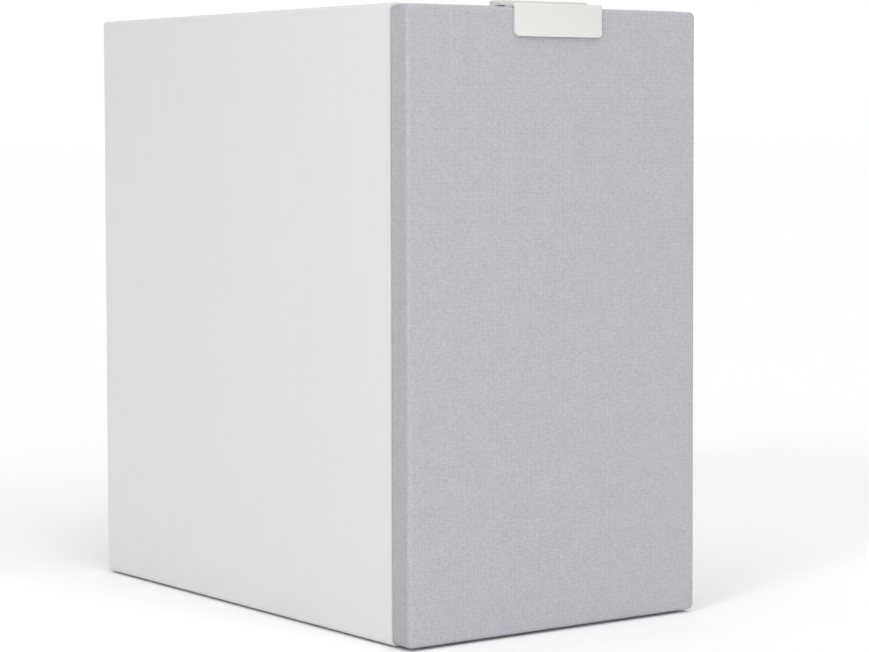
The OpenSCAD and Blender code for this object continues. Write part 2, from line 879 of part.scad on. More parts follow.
module terminal_cup() {
    color("black") placed() difference() {
        union() {
            translate([0, 0, cup_axis_z]) {
                slab_y(rear_face_y, cup_outer_y) rounded_rect(cup_w, cup_h, cup_corner_r);
                slab_y(cup_floor_y - cup_floor_t, rear_face_y) rounded_rect(cup_recess_w + 2 * cup_wall,
                    cup_recess_h + 2 * cup_wall, cup_corner_r);
            }
        }
        translate([0, 0, cup_axis_z]) slab_y(cup_floor_y, cup_outer_y + 1)
            rounded_rect(cup_recess_w, cup_recess_h, cup_corner_r - cup_wall);
        post_places() rod_y(post_r + 0.1, cup_floor_y - cup_floor_t - 1, cup_floor_y + 1);
        cup_screw_places() rod_y(wood_screw[2], -1, flange_t + 1);
    }
    color("black") placed() post_places() difference() {
        rod_y(collar_r, cup_floor_y - 0.5, collar_y);
        rod_y(post_r + 0.1, cup_floor_y - 1, collar_y + 1);
    }
}

module terminal_screws() {
    color("black") placed() cup_screw_places()
        screw_y([wood_screw[0] - 0.6, 1.8, wood_screw[2] - 0.2], cup_screw_l);
}

// A threaded stem, drilled from its end for a plug and across its base for bare wire
module post() {
    translate([0, 0, cup_axis_z]) difference() {
        rod_y(post_r, cup_floor_y - cup_floor_t - post_tail, post_end_y);
        rod_y(socket_r, post_end_y - socket_l, post_end_y + 1);
        translate([0, wire_hole_y, 0]) rod_z(wire_hole_r, -post_r - 1, post_r + 1);
    }
}

module washer() {
    translate([0, 0, cup_axis_z]) difference() {
        rod_y(washer_r, collar_y, knob_y);
        rod_y(post_r + thread_play, collar_y - 1, knob_y + 1);
    }
}

module knob() {
    translate([0, 0, cup_axis_z]) difference() {
        union() {
            rod_y(knob_r - 0.4, knob_y, knob_y + knob_l);
            for (i = [0 : knob_ribs - 1])
                rotate([0, i * 360 / knob_ribs, 0]) translate([knob_r - rib_r, 0, 0])
                    rod_y(rib_r, knob_y + 2, knob_y + knob_l - 2);
        }
        rod_y(post_r + thread_play, knob_y - 1, knob_y + knob_l + 1);
        rod_y(post_r + 1.2, knob_y + knob_l - 2, knob_y + knob_l + 1);
    }
}

module red_post() {
    color("gold") placed() translate([post_spacing / 2, 0, 0]) post();
}

module black_post() {
    color("gold") placed() translate([-post_spacing / 2, 0, 0]) post();
}

module red_washer() {
    color("goldenrod") placed() translate([post_spacing / 2, 0, 0]) washer();
}

module black_washer() {
    color("goldenrod") placed() translate([-post_spacing / 2, 0, 0]) washer();
}

module red_knob() {
    color("firebrick") placed() translate([post_spacing / 2, 0, 0]) knob();
}

module black_knob() {
    color("black") placed() translate([-post_spacing / 2, 0, 0]) knob();
}

module post_nuts() {
    inner_y = cup_floor_y - cup_floor_t;
    color("gold") placed() post_places() difference() {
        translate([0, inner_y - nut_t, 0]) rotate([-90, 0, 0]) cylinder(r = nut_flat_r, h = nut_t, $fn = 6);
        rod_y(post_r + 0.05, inner_y - nut_t - 1, inner_y + 1);
    }
}

module crossover_board() {
    color("darkgreen") placed() difference() {
        translate([-board_size[0] / 2, board_y, board_z]) cube(board_size);
        board_screw_places() rod_z(small_screw[2] + 0.2, board_z - 1, board_top + 1);
    }
}

module board_fixings() {
    color("silver") placed() board_screw_places() {
        difference() {
            rod_z(small_screw[0], inner_bottom_z, board_z);
            rod_z(small_screw[2] + 0.2, inner_bottom_z - 1, board_z + 1);
        }
        rod_z(small_screw[0], board_top, board_top + small_screw[1]);
        rod_z(small_screw[2], board_top - board_screw_l, board_top + 0.1);
    }
}

// A round coil that stands on the board
module board_coil(place, size) {
    translate([place[0], board_y + place[1], 0]) difference() {
        rod_z(size[0], board_top, board_top + size[2]);
        rod_z(size[1], board_top - 1, board_top + size[2] + 1);
    }
}

// A capacitor lying on the board, across it
module board_capacitor(place, size) {
    translate([place[0] - size[1] / 2, board_y + place[1], board_top + size[0]]) rotate([0, 90, 0])
        cylinder(r = size[0], h = size[1]);
}

module bass_inductor() {
    color("chocolate") placed() board_coil(bass_coil_place, bass_coil_size);
}

module treble_inductor() {
    color("chocolate") placed() board_coil(treble_coil_place, treble_coil_size);
}

module bass_capacitor() {
    color("royalblue") placed() board_capacitor(bass_can_place, bass_can_size);
}

module treble_capacitor() {
    color("khaki") placed() board_capacitor(treble_can_place, treble_can_size);
}

module crossover_resistor() {
    color("white") placed() translate([resistor_place[0], board_y + resistor_place[1], board_top])
        cube(resistor_size);
}

module woofer_wires() {
    color("firebrick") placed() wire_pair(woofer_route, wire_r);
}

module tweeter_wires() {
    color("firebrick") placed() wire_pair(tweeter_route, wire_r);
}

module input_wires() {
    color("firebrick") placed() wire_pair(input_route, wire_r);
}

cabinet_left_panel();
cabinet_right_panel();
cabinet_top_panel();
cabinet_bottom_panel();
cabinet_rear_panel();
front_baffle();
cabinet_brace();
rubber_feet();
cabinet_magnets();
wadding_left();
wadding_right();
wadding_top();
grille_frame();
grille_cloth();
grille_magnets();
pull_tab();
woofer_basket();
woofer_trim_ring();
woofer_surround();
woofer_cone();
woofer_dust_cap();
woofer_former();
woofer_voice_coil();
woofer_spider();
woofer_front_plate();
woofer_magnet();
woofer_yoke();
woofer_terminals();
woofer_leads();
woofer_screws();
tweeter_faceplate();
tweeter_surround();
tweeter_dome();
tweeter_voice_coil();
tweeter_front_plate();
tweeter_magnet();
tweeter_yoke();
tweeter_terminals();
tweeter_screws();
port_tube();
terminal_cup();
terminal_screws();
red_post();
black_post();
red_washer();
black_washer();
red_knob();
black_knob();
post_nuts();
crossover_board();
board_fixings();
bass_inductor();
treble_inductor();
bass_capacitor();
treble_capacitor();
crossover_resistor();
woofer_wires();
tweeter_wires();
input_wires();
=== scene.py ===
import math

import bmesh
import bpy
import numpy as np
from mathutils import Matrix, Vector, noise


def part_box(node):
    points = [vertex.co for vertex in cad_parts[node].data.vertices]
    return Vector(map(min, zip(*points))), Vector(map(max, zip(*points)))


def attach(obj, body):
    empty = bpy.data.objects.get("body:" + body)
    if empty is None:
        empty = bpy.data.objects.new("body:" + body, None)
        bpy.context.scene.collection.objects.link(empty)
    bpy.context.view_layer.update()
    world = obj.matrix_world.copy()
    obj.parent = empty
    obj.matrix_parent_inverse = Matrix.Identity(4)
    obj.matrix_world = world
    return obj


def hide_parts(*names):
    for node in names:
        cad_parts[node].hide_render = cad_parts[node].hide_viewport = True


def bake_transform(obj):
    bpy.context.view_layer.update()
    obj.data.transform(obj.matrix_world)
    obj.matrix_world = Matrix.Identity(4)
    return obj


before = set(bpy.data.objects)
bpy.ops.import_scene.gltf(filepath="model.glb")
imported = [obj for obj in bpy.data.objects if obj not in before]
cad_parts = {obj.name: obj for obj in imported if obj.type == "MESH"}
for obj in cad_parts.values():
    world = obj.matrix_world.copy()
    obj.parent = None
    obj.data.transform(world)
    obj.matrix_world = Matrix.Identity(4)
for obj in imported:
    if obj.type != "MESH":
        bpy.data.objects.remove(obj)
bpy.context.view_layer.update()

MM = 0.001


def middle(node):
    """The middle of a CAD node's box."""
    low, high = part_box(node)
    return (low + high) / 2


# Places that the pieces are built from, all read off the frame
RIM_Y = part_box("cabinet_left_panel")[0].y
CABINET_LOW = Vector((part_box("cabinet_left_panel")[0].x, RIM_Y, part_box("cabinet_bottom_panel")[0].z))
CABINET_HIGH = Vector((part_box("cabinet_right_panel")[1].x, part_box("cabinet_left_panel")[1].y,
                       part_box("cabinet_top_panel")[1].z))
WOOFER = Vector((0, RIM_Y, middle("woofer_cone").z))
TWEETER = Vector((0, RIM_Y, middle("tweeter_dome").z))


# ---------------------------------------------------------------- materials

class Look:
    """One procedural material. Its methods add nodes and give their outputs."""

    def __init__(self, name, colour, roughness, metallic=0.0, **sockets):
        self.material = bpy.data.materials.new(name)
        self.material.use_nodes = True
        self.tree = self.material.node_tree
        self.shader = self.tree.nodes["Principled BSDF"]
        self.set(Base_Color=(*colour, 1), Roughness=roughness, Metallic=metallic, **sockets)

    def set(self, **sockets):
        """Feeds the shader's sockets, whose names are written with _ for each space."""
        for name, value in sockets.items():
            self.feed(self.shader, name.replace("_", " "), value)

    def feed(self, node, name, value):
        """Gives a socket a fixed value, or links an output to it."""
        socket = node.inputs[name]
        if isinstance(value, bpy.types.NodeSocket):
            self.tree.links.new(value, socket)
        else:
            socket.default_value = value

    def node(self, kind, inputs, **settings):
        """A new node with its settings made and its inputs fed."""
        made = self.tree.nodes.new("ShaderNode" + kind)
        for name, value in settings.items():
            setattr(made, name, value)
        for name, value in inputs.items():
            self.feed(made, name, value)
        return made

    def place(self, scale=(1, 1, 1), kind="Object"):
        """A point's place on its piece in metres, times scale. With kind UV, its place on the flat cloth."""
        source = self.node("TexCoord", {}).outputs[kind]
        return self.node("Mapping", {"Vector": source, "Scale": scale}).outputs["Vector"]

    def noise(self, size, stretch=(1, 1, 1), detail=2.0, kind="Object"):
        """Smooth noise from 0 to 1 whose lumps are size metres across."""
        scale = tuple(1 / (size * s) for s in stretch)
        made = self.node("TexNoise", {"Vector": self.place(scale, kind), "Scale": 1.0, "Detail": detail})
        return made.outputs["Fac"]

    def maths(self, operation, *values):
        """The result of a Math node on up to three values."""
        made = self.tree.nodes.new("ShaderNodeMath")
        made.operation = operation
        for i, value in enumerate(values):
            self.feed(made, i, value)
        return made.outputs[0]

    def spread(self, value, low, high, new_low=0.0, new_high=1.0):
        """value, carried from the range low..high to a new one."""
        made = self.node("MapRange", {"Value": value, "From Min": low, "From Max": high,
                                      "To Min": new_low, "To Max": new_high})
        return made.outputs["Result"]

    def mix(self, share, a, b):
        """A colour between a and b."""
        made = self.node("Mix", {}, data_type="RGBA")
        self.feed(made, 0, share)
        for index, colour in ((6, a), (7, b)):
            self.feed(made, index, colour if isinstance(colour, bpy.types.NodeSocket) else (*colour, 1))
        return made.outputs[2]

    def bump(self, height, depth, strength=1.0):
        """Relief on the surface: height from 0 to 1 stands for depth metres."""
        made = self.node("Bump", {"Height": height, "Distance": depth, "Strength": strength})
        normal = self.shader.inputs["Normal"]
        if normal.is_linked:
            self.tree.links.new(normal.links[0].from_socket, made.inputs["Normal"])
        self.tree.links.new(made.outputs["Normal"], normal)


def lacquer(name, colour, roughness, streak):
    """Satin lacquer over a finely brushed ground: faint upright streaks and a soft orange peel."""
    look = Look(name, colour, roughness, Coat_Weight=0.12, Coat_Roughness=0.35)
    streaks = look.noise(0.0011, (1, 1, 90), 3)
    clouds = look.noise(0.07)
    dark = tuple(c * (1 - streak) for c in colour)
    pale = tuple(min(1, c * (1 + streak)) for c in colour)
    share = look.maths("MULTIPLY_ADD", streaks, 0.8, look.maths("MULTIPLY", clouds, 0.2))
    look.set(Base_Color=look.mix(look.spread(share, 0.3, 0.7), dark, pale))
    look.set(Roughness=look.spread(streaks, 0.2, 0.8, roughness - 0.05, roughness + 0.06))
    look.bump(streaks, 0.00003)
    look.bump(look.noise(0.0022), 0.00002)
    return look.material


def plastic(name, colour, roughness, grain=0.00035, relief=0.00002, **sockets):
    """Moulded plastic with a spark-eroded grain."""
    look = Look(name, colour, roughness, **sockets)
    fine = look.noise(grain, detail=1)
    patches = look.noise(0.02)
    dark = tuple(c * 0.9 for c in colour)
    pale = tuple(min(1, c * 1.07) for c in colour)
    look.set(Base_Color=look.mix(patches, dark, pale))
    look.set(Roughness=look.spread(fine, 0.3, 0.7, roughness - 0.06, roughness + 0.06))
    look.bump(fine, relief)
    return look.material


def metal(name, colour, roughness, brush=(1, 1, 1), size=0.0004, relief=0.00001):
    """Metal whose fine marks are drawn out along brush."""
    look = Look(name, colour, roughness, 1.0)
    marks = look.noise(size, brush, 3)
    clouds = look.noise(0.006)
    dark = tuple(c * 0.82 for c in colour)
    look.set(Base_Color=look.mix(look.spread(clouds, 0.35, 0.7), dark, colour))
    look.set(Roughness=look.spread(marks, 0.3, 0.7, roughness - 0.08, roughness + 0.1))
    look.bump(marks, relief)
    return look.material


def mottled(name, colour, roughness, tones, size, relief, stretch=(1, 1, 1), detail=4, span=(0.3, 0.7),
            **sockets):
    """Grains or fibres between a dark tone and a pale one, which stand out a little."""
    look = Look(name, colour, roughness, **sockets)
    grains = look.noise(size, stretch, detail)
    look.set(Base_Color=look.mix(look.spread(grains, *span), *tones))
    look.bump(grains, relief)
    return look


def woven(name, thread, hollow_shade, pitch, relief, kind="UV", plane="XY", roughness=0.85, **sockets):
    """Plain weave: round threads that pass over and under each other. They wander and swell a little,
    and each thread and each crossing has a slightly different tone. Where the weave is low, at the thread
    edges and in the hollows between threads, the colour is painted darker as shade."""
    jitter, wander, wave_share = 0.08, 0.5, 0.45
    look = Look(name, thread, roughness, **sockets)
    made = look.node("SeparateXYZ", {"Vector": look.place((1 / pitch,) * 3, kind)})
    axes = [made.outputs[axis] for axis in plane]
    drift = [look.noise(size * pitch, detail=2, kind=kind) for size in (6.5, 7.5)]
    axes = [look.maths("MULTIPLY_ADD", amount, wander * 2, axis) for amount, axis in zip(drift, axes)]
    cells = [look.maths("FLOOR", axis) for axis in axes]
    odd = look.maths("FLOORED_MODULO", look.maths("ADD", *cells), 2.0)
    side = look.maths("MULTIPLY_ADD", odd, -2.0, 1.0)
    offsets = [look.maths("SUBTRACT", look.maths("FRACT", axis), 0.5) for axis in axes]
    swell = look.spread(look.noise(2.2 * pitch, detail=1, kind=kind), 0.25, 0.75, 0.82, 1.12)
    arcs, waves = [], []
    for offset in offsets:
        squared = look.maths("POWER", look.maths("MULTIPLY", offset, 2.0), 2.0)
        arcs.append(look.maths("SQRT", look.maths("MAXIMUM", look.maths("SUBTRACT", swell, squared), 0.0)))
        wave = look.maths("COSINE", look.maths("MULTIPLY", offset, math.pi))
        waves.append(look.maths("MULTIPLY", wave, side))
    rounds = [look.maths("MULTIPLY", arc, 1 - wave_share) for arc in arcs]
    warp = look.maths("MULTIPLY_ADD", waves[1], wave_share, rounds[0])
    weft = look.maths("MULTIPLY_ADD", waves[0], -wave_share, rounds[1])
    height = look.maths("MAXIMUM", warp, weft)
    over = look.maths("GREATER_THAN", warp, weft)
    cell = look.node("CombineXYZ", {"X": cells[0], "Y": cells[1]}).outputs["Vector"]
    crossing = look.node("TexWhiteNoise", {"Vector": cell}, noise_dimensions="3D").outputs["Value"]
    tones = [look.node("TexWhiteNoise", {"W": value}, noise_dimensions="1D").outputs["Value"]
             for value in (cells[0], look.maths("ADD", cells[1], 0.37))]
    tone = look.maths("ADD", look.maths("MULTIPLY", over, tones[0]),
                      look.maths("MULTIPLY", look.maths("SUBTRACT", 1.0, over), tones[1]))
    clouds = look.noise(12 * pitch, detail=3, kind=kind)
    flecks = look.noise(1.6 * pitch, (1.6, 1, 1), detail=2, kind=kind)
    shares = ((crossing, 0.36), (tone, 0.08), (flecks, 0.36), (clouds, 0.20))
    shade = 0.0
    for value, share in shares:
        shade = look.maths("MULTIPLY_ADD", value, share, shade)
    pale = tuple(min(1, c * (1 + jitter)) for c in thread)
    dull = tuple(c * (1 - jitter) for c in thread)
    colour = look.mix(look.spread(shade, 0.28, 0.72), dull, pale)
    # painted shade: where the weave is low, at the thread edges and between threads, the colour runs to a
    # darker tone
    look.set(Base_Color=look.mix(look.spread(height, 0.25, 0.7), hollow_shade, colour))
    look.bump(height, relief)
    return look.material


# ---------------------------------------------------------------- geometry

def linked(name, data):
    """A new object, put in the scene."""
    made = bpy.data.objects.new(name, data)
    bpy.context.scene.collection.objects.link(made)
    return made


def cleaned(mesh):
    """Joins points that lie together, turns the faces outwards and shades them smooth."""
    work = bmesh.new()
    work.from_mesh(mesh)
    bmesh.ops.remove_doubles(work, verts=work.verts, dist=1e-7)
    bmesh.ops.recalc_face_normals(work, faces=work.faces)
    work.to_mesh(mesh)
    work.free()
    mesh.shade_smooth()


def piece(name, points, faces, look, slot, body="root", stands_for=(), sharp=35, rides=True):
    """A mesh piece from points in metres. Faces that meet at more than sharp degrees keep a crisp edge."""
    mesh = bpy.data.meshes.new(name)
    mesh.from_pydata([tuple(p) for p in points], [], faces)
    cleaned(mesh)
    mesh.set_sharp_from_angle(angle=math.radians(sharp))
    mesh.materials.append(look)
    made = linked(name, mesh)
    if stands_for:
        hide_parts(*stands_for)
    if rides:
        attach(made, body)
    return made


def band_faces(rings, count, caps=False, looped=False):
    """Quads between rings of count points each, which follow one another in a list. The first and last
    ring are closed by caps, joined to each other when looped, or left open."""
    faces = [(r * count + i, r * count + (i + 1) % count,
              (r + 1) % rings * count + (i + 1) % count, (r + 1) % rings * count + i)
             for r in range(rings if looped else rings - 1) for i in range(count)]
    if caps:
        faces += [tuple(reversed(range(count))), tuple(range((rings - 1) * count, rings * count))]
    return faces


def round_rectangle(width, height, radius, corner_steps=6, side_steps=8):
    """Points round a rectangle with round corners, about its middle."""
    radius = max(radius, 0)
    points = []
    centres = [Vector((sx * (width / 2 - radius), sz * (height / 2 - radius)))
               for sx, sz in ((1, 1), (-1, 1), (-1, -1), (1, -1))]
    arcs = [[centre + radius * Vector((math.cos(a), math.sin(a)))
             for a in (math.radians(90 * (i + k / corner_steps)) for k in range(corner_steps + 1))]
            for i, centre in enumerate(centres)]
    for i, arc in enumerate(arcs):
        onward = arcs[(i + 1) % 4][0]
        points += arc
        points += [arc[-1].lerp(onward, k / side_steps) for k in range(1, side_steps)]
    return points


def filleted(corners, radii, steps):
    """A closed outline whose corners are rounded, each by its own radius."""
    points = []
    for i, radius in enumerate(radii):
        here = Vector(corners[i])
        back = Vector(corners[i - 1]) - here
        ahead = Vector(corners[(i + 1) % len(corners)]) - here
        angle = back.angle(ahead)
        reach = min(radius / math.tan(angle / 2), 0.49 * back.length, 0.49 * ahead.length)
        radius = reach * math.tan(angle / 2)
        start, end = here + back.normalized() * reach, here + ahead.normalized() * reach
        centre = here + (back.normalized() + ahead.normalized()).normalized() * (radius / math.sin(angle / 2))
        a, b = start - centre, end - centre
        for k in range(steps + 1):
            bent = (a * (1 - k / steps) + b * (k / steps)).normalized() * radius
            points.append(centre + bent)
    return points


def at(x, y, z):
    """A place given as on the drawings: millimetres, y from the cabinet's front rim, z from the floor."""
    return Vector((x * MM, RIM_Y + y * MM, z * MM))


def thickened(path, thick):
    """A closed outline round an open path of (radius, depth), thick millimetres across."""
    points = [Vector(p) for p in path]
    ahead, behind = [], []
    for i, p in enumerate(points):
        run = (points[min(i + 1, len(points) - 1)] - points[max(i - 1, 0)]).normalized()
        side = Vector((-run.y, run.x)) * (thick / 2)
        ahead.append(p + side)
        behind.append(p - side)
    return ahead + behind[::-1]


def lathe(name, outline, centre, look, axis="Y", steps=96, **options):
    """Turns a closed outline of (radius, distance along the axis), in millimetres, about an axis."""
    points = []
    for k in range(steps):
        c, s = math.cos(2 * math.pi * k / steps), math.sin(2 * math.pi * k / steps)
        for r, y in outline:
            offset = {"Y": (r * c, y, r * s), "Z": (r * c, r * s, y), "X": (y, r * c, r * s)}[axis]
            points.append(centre + Vector(offset) * MM)
    return piece(name, points, band_faces(steps, len(outline), looped=True), look, **options)


def smooth_route(route, per_step=8):
    """Points on a smooth curve through every point of a route."""
    route = [Vector(p) for p in route]
    last = len(route) - 1
    points = []
    for i in range(last):
        a, b, c, d = route[max(i - 1, 0)], route[i], route[i + 1], route[min(i + 2, last)]
        for k in range(per_step):
            t = k / per_step
            points.append(0.5 * (2 * b + (c - a) * t + (2 * a - 5 * b + 4 * c - d) * t * t
                                 + (3 * b - a - 3 * c + d) * t ** 3))
    return points + [route[-1]]


def tube(points, radius, sides=14):
    """The rings and faces of a tube round a smooth line, without twist."""
    rings, side = [], None
    for i, p in enumerate(points):
        run = (points[min(i + 1, len(points) - 1)] - points[max(i - 1, 0)]).normalized()
        side = (side - run * side.dot(run)).normalized() if side else run.orthogonal().normalized()
        other = run.cross(side)
        rings += [p + radius * (math.cos(a) * side + math.sin(a) * other)
                  for a in (2 * math.pi * k / sides for k in range(sides))]
    return rings, band_faces(len(points), sides, caps=True)


def rounded_block(name, low, high, radius, look, **options):
    """A block between two corners given as on the drawings, with rounded edges."""
    low, high = at(*low), at(*high)
    work = bmesh.new()
    bmesh.ops.create_cube(work, size=1)
    for v in work.verts:
        v.co = Vector(tuple(low[i] if v.co[i] < 0 else high[i] for i in range(3)))
    bmesh.ops.bevel(work, geom=work.edges[:], offset=radius * MM, segments=3, affect="EDGES", profile=0.5)
    points = [v.co.copy() for v in work.verts]
    faces = [tuple(v.index for v in f.verts) for f in work.faces]
    work.free()
    return piece(name, points, faces, look, **options)


def radial_blend(made):
    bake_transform(made)


# ---------------------------------------------------------------- the grille cloth

def grille_cloth():
    """The cloth: stretched over the frame's front, turned round its edges and glued down behind them."""
    low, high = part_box("grille_cloth")
    centre = (low + high) / 2
    width, depth, height = high - low
    corner = 2.8 * MM
    front_r, back_r, hem, thickness = 2.0 * MM, 0.8 * MM, 5.3 * MM, 0.6 * MM
    rings_across = 14
    arc = [math.radians(90 * k / 6) for k in range(7)]
    # the wrap's line from the middle to the hem: inset from the outline, and depth behind the front
    front_turn = [(front_r * (1 - math.sin(a)), front_r * (1 - math.cos(a))) for a in arc]
    back_turn = [(back_r * (1 - math.cos(a)), depth - back_r * (1 - math.sin(a))) for a in arc]
    insets = [width / 2 * k / rings_across for k in range(rings_across, 0, -1)]
    path = [(inset, 0.0) for inset in insets if inset > front_r] + front_turn
    path += [(0.0, front_r + (depth - front_r - back_r) * k / 4) for k in range(1, 4)]
    path += back_turn + [(hem * 0.55, depth), (hem, depth)]
    # the same insets once the wrap is unrolled
    unrolled = [path[0][0]]
    for (d0, y0), (d1, y1) in zip(path, path[1:]):
        unrolled.append(unrolled[-1] - math.hypot(d1 - d0, y1 - y0))
    points, flat = [], []
    for (inset, back), open_inset in zip(path, unrolled):
        ring = round_rectangle(width - 2 * inset, height - 2 * inset, corner - inset)
        laid = round_rectangle(width - 2 * open_inset, height - 2 * open_inset, corner - open_inset)
        for p, q in zip(ring, laid):
            points.append(Vector((centre.x + p.x, low.y + back, centre.z + p.y)))
            flat.append(q)
    count = len(ring)
    faces = band_faces(len(path), count)
    # thread colour, then the darker colour painted as shade in the hollows between threads
    look = woven("grille_cloth", (0.445, 0.44, 0.47), (0.26, 0.255, 0.285), 1.0 * MM, 0.00016,
                 Sheen_Weight=0.12, Sheen_Roughness=0.5)
    mesh = bpy.data.meshes.new("grille_cloth_wrap")
    mesh.from_pydata([tuple(p) for p in points], [], faces)
    layer = mesh.uv_layers.new(name="wrap")
    for loop in mesh.loops:
        layer.data[loop.index].uv = flat[loop.vertex_index]
    cleaned(mesh)
    mesh.materials.append(look)
    made = linked("grille_cloth_wrap", mesh)
    solid = made.modifiers.new("Solidify", "SOLIDIFY")
    solid.thickness, solid.offset = thickness, -1
    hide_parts("grille_cloth")
    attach(made, "grille")


# ---------------------------------------------------------------- the pull tab

def pull_tab():
    """One bent moulding: plate in front, strap over the grille's edge, narrow neck and a bar behind it.
    It is drawn through rows, each with a half width, an inner point and an outer point."""
    low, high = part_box("pull_tab")
    grille_low, grille_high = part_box("grille_cloth")
    half = (high.x - low.x) / 2
    plate_t = grille_low.y - low.y
    strap_top = CABINET_HIGH.z + 1.0 * MM
    corner, bend, edge_r, inner_edge_r = 2.5 * MM, 0.4 * MM, 1.0 * MM, 0.2 * MM
    pivot = Vector((0, grille_low.y + bend, grille_high.z - bend))
    # the plate, from its round lower corners up: half width and height
    plate = [(half - corner * (1 - math.sin(a)), low.z + corner * (1 - math.cos(a)))
             for a in (math.radians(90 * k / 8) for k in range(9))]
    plate += [(half, z) for z in np.linspace(low.z + corner, pivot.z, 6)[1:]]
    rows = [(w, Vector((0, grille_low.y, z)), Vector((0, low.y, z))) for w, z in plate]
    # the turn from the plate into the strap, whose outside is a squared-off quarter ellipse
    outer, strap, squareness = plate_t + bend, strap_top - pivot.z, 5
    for k in range(1, 11):
        a = math.radians(9 * k)
        direction = Vector((0, -math.cos(a), math.sin(a)))
        share = (abs(math.cos(a)) / outer) ** squareness + (abs(math.sin(a)) / strap) ** squareness
        rows.append((half, pivot + direction * bend, pivot + direction * share ** (-1 / squareness)))
    strap_back, neck_back = grille_low.y + 6.8 * MM, RIM_Y - 4.0 * MM
    neck_low, neck_top = CABINET_HIGH.z - 0.3 * MM, strap_top
    bar_low = high.z - 2.5 * MM
    neck = half - 4 * MM
    # strap, neck and bar, from front to back: half width, depth, underside and top
    flats = [(half, strap_back - 0.7 * MM, grille_high.z, strap_top),
             (half - 0.25 * MM, strap_back - 0.15 * MM, grille_high.z, strap_top),
             (half - 1.2 * MM, strap_back, grille_high.z + 0.1 * MM, strap_top),
             (neck + 0.4 * MM, strap_back + 0.1 * MM, neck_low, neck_top),
             (neck, strap_back + 0.5 * MM, neck_low, neck_top),
             (neck, neck_back - 0.5 * MM, neck_low, neck_top),
             (neck + 0.4 * MM, neck_back - 0.1 * MM, neck_low, neck_top),
             (half - 1.2 * MM, neck_back, bar_low, high.z - 0.5 * MM),
             (half - 0.25 * MM, neck_back + 0.1 * MM, bar_low, high.z - 0.15 * MM),
             (half, neck_back + 0.6 * MM, bar_low, high.z),
             (half, high.y - 0.6 * MM, bar_low, high.z),
             (half - 0.2 * MM, high.y - 0.15 * MM, bar_low + 0.15 * MM, high.z - 0.2 * MM),
             (half - 0.6 * MM, high.y, bar_low + 0.5 * MM, high.z - 0.6 * MM)]
    rows += [(w, Vector((0, y, z0)), Vector((0, y, z1))) for w, y, z0, z1 in flats]
    points = []
    for width, inside, outside in rows:
        thick = (outside - inside).length
        out = (outside - inside).normalized()
        edge = min(edge_r, 0.45 * thick, 0.45 * width)
        ring = filleted([(-width, 0), (width, 0), (width, thick), (-width, thick)],
                        [inner_edge_r, inner_edge_r, edge, edge], 4)
        points += [inside + Vector((p.x, 0, 0)) + out * p.y for p in ring]
    look = plastic("tab_plastic", (0.67, 0.675, 0.647), 0.3, relief=0.000006,
                   Coat_Weight=0.35, Coat_Roughness=0.12,
                   Subsurface_Weight=0.08, Subsurface_Radius=(0.002, 0.002, 0.0015))
    piece("pull_tab_moulding", points, band_faces(len(rows), len(ring), caps=True), look, "tab_plastic",
          "grille", ["pull_tab"], sharp=50)


# ---------------------------------------------------------------- the drivers' soft parts

def half_roll(middle_r, roll_r, roll_y, steps, ends):
    """A half circle of (radius, depth) that bulges forward. Its two end points are left out unless ends."""
    turns = range(steps + 1) if ends else range(1, steps)
    return [(middle_r - roll_r * math.cos(a), roll_y - roll_r * math.sin(a))
            for a in (math.pi * k / steps for k in turns)]


def woofer_suspension():
    """The rubber surround with its half roll, and the corrugated spider."""
    roll_middle, roll_r, rim_y = 54, 4.6, 4.3
    cone_rim, basket_rim = 47.0, 61.5
    # how each flat rim eases into the roll: distance from the roll's middle, and depth
    ease = [(5.8, rim_y), (5.1, rim_y - 0.08), (4.75, rim_y - 0.35)]
    path = [(cone_rim, rim_y)] + [(roll_middle - r, y) for r, y in ease]
    path += half_roll(roll_middle, roll_r, rim_y - 0.2, 20, ends=False)
    path += [(roll_middle + r, y) for r, y in ease[::-1]] + [(basket_rim, rim_y)]
    rubber = plastic("surround_rubber", (0.035, 0.035, 0.037), 0.42, grain=0.0005, relief=0.000015)
    ring = lathe("woofer_surround_roll", thickened(path, 0.6), WOOFER, rubber, steps=120, rides=False,
                 stands_for=["woofer_surround"], slot="surround_rubber", sharp=60)
    radial_blend(ring)
    neck, first, last, rim = 12.8, 14.75, 31.5, 39
    rolls, wave_height, spider_y = 6, 1.3, 36
    path = [(neck, spider_y), (neck + 1, spider_y)]
    for k in range(rolls * 8 + 1):
        t = k / 8
        path.append((first + (last - first) * t / rolls, spider_y - wave_height * math.sin(math.pi * t)))
    path += [(last + 1.1, spider_y), (rim - 3, spider_y), (rim, spider_y)]
    # thread colour, then the darker colour painted as shade in the hollows between threads
    cloth = woven("spider_cloth", (0.62, 0.40, 0.13), (0.20, 0.12, 0.03), 0.6 * MM, 0.00008, "Object",
                  plane="XZ", roughness=0.5)
    spider = lathe("woofer_spider_disc", thickened(path, 0.5), WOOFER, cloth, steps=120, rides=False,
                   stands_for=["woofer_spider"], slot="spider_cloth", sharp=60)
    radial_blend(spider)


def tweeter_suspension(silk):
    """The small half roll of silk round the dome."""
    roll_middle, roll_r, roll_y, dome_rim = 14.25, 1.1, 4.55, 12.7
    path = [(dome_rim, roll_y - 0.1), (dome_rim + 0.3, roll_y - 0.1)]
    path += half_roll(roll_middle, roll_r, roll_y, 14, ends=True)
    ring = lathe("tweeter_surround_roll", thickened(path, 0.24), TWEETER, silk, steps=96, rides=False,
                 stands_for=["tweeter_surround"], slot="dome_silk", sharp=60)
    radial_blend(ring)


def wire_pair(route, radius, names, looks, slot, node, sides=14):
    """Two wires side by side. A route's point is x, y, z and each wire's distance from the middle."""
    made = []
    for side, name, look in zip((1, -1), names, looks):
        line = smooth_route([at(x + side * apart, y, z) for x, y, z, apart in route])
        points, faces = tube(line, radius * MM, sides)
        made.append(piece(name, points, faces, look, rides=False, slot=slot, sharp=70,
                          stands_for=[node] if not made else ()))
    return made


